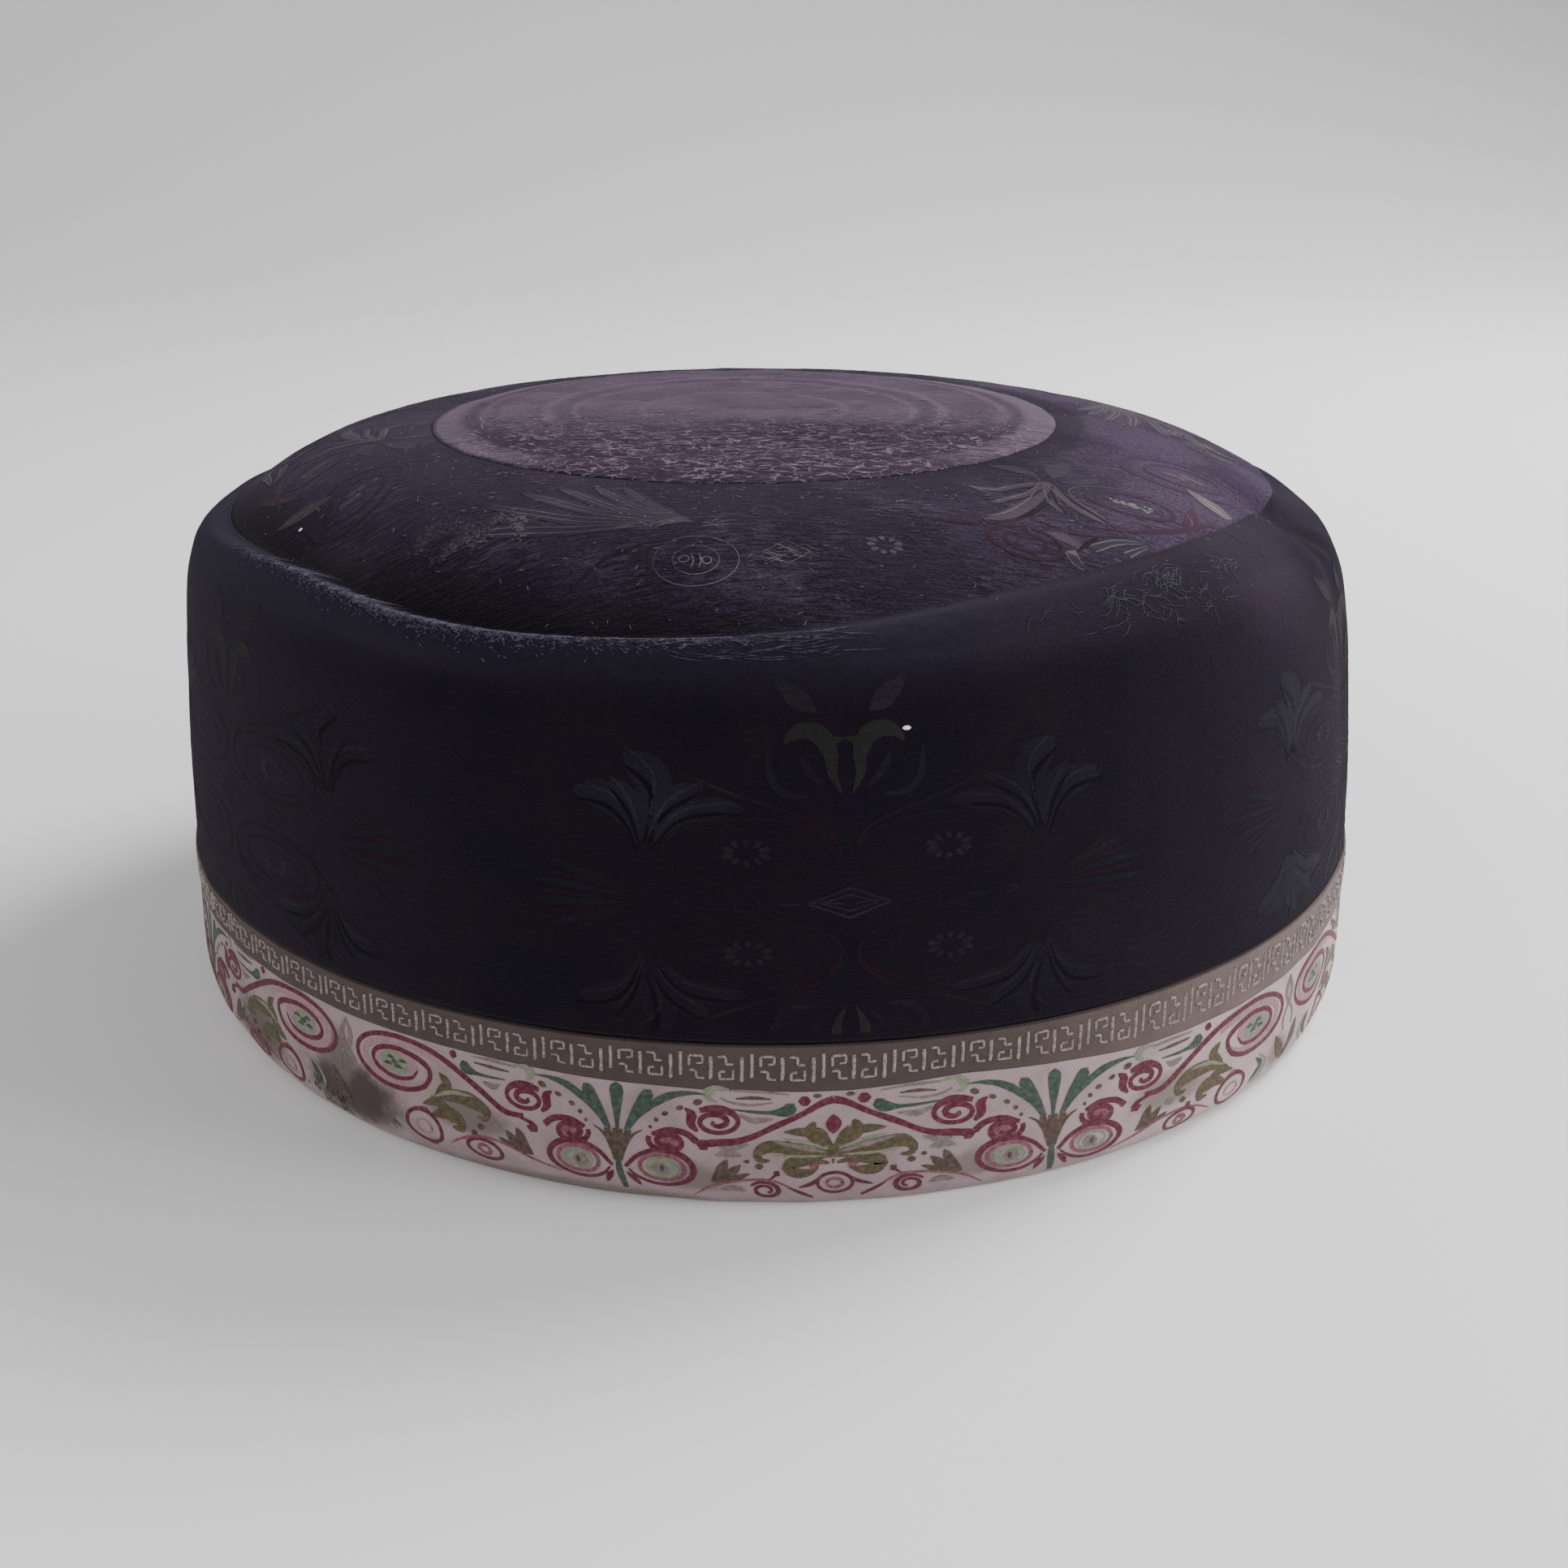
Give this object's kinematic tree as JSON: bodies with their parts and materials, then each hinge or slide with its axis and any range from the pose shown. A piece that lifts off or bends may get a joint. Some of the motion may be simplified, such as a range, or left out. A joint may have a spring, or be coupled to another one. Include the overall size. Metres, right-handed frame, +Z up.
{
  "type": "round velvet prayer cap",
  "caption": "Round flat-topped velvet prayer cap with a paler woven disc on its crown and a folded ornamental band at its hem, open underneath for the head.",
  "frame": {"origin": "centre of the bounding box at the hem's rest plane", "axes": "+Z up through the crown, +X to the wearer's left in the picture's view, the pictured front faces -Y"},
  "size_m": [0.189, 0.189, 0.0872],
  "materials": {
    "wall_velvet": "dark plum velvet with a faint tone-on-tone pattern",
    "crown_velvet": "dark plum velvet, paler where the light grazes its pile",
    "medallion_weave": "pale mauve woven cloth with concentric rings",
    "ribbon_taupe": "taupe woven ribbon with a raised pale key pattern",
    "band_cotton": "pale cotton printed with crimson, olive and green scrollwork"
  },
  "bodies": {
    "root": {"wall": "wall_velvet", "crown": "crown_velvet", "crown_medallion": "medallion_weave", "key_ribbon": "ribbon_taupe", "scroll_band": "band_cotton"}
  },
  "joints": []
}
